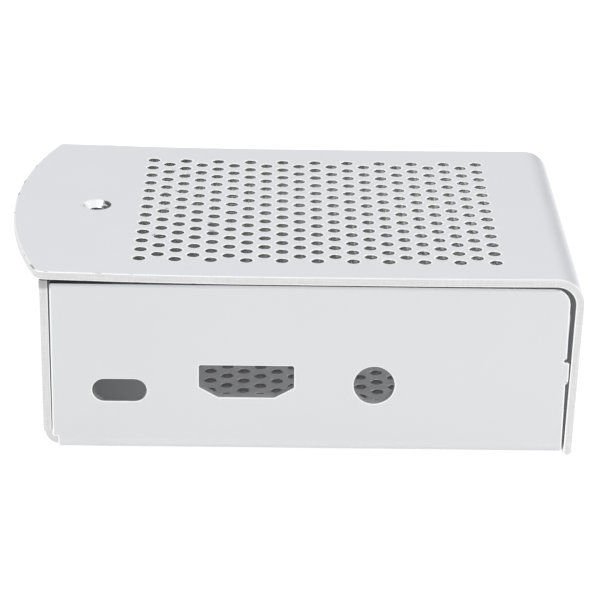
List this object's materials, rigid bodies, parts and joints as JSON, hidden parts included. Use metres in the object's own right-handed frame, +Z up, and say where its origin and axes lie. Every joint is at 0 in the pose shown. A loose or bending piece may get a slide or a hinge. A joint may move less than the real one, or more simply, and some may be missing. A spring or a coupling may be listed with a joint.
{
  "type": "single board computer case",
  "caption": "Two-piece folded aluminium case with staggered vents, a rounded screw tongue and connector cut-outs, for a credit-card-size single board computer.",
  "frame": {"origin": "under the middle of the whole case, in the plane that its underside rests on", "axes": "+X from the round tongue to the end flange, +Y from the port wall to the rear wall, +Z up"},
  "size_m": [0.0976, 0.0628, 0.0331],
  "materials": {
    "tray_aluminium": "fine blasted and clear anodised, satin",
    "cover_aluminium": "fine blasted and clear anodised, satin, with bright bare metal in the countersink",
    "standoff_metal": "turned, nickel plated"
  },
  "bodies": {
    "root": {"base_tray": "tray_aluminium", "top_cover": "cover_aluminium", "standoff_front_left": "standoff_metal", "standoff_front_right": "standoff_metal", "standoff_rear_left": "standoff_metal", "standoff_rear_right": "standoff_metal"}
  },
  "joints": []
}
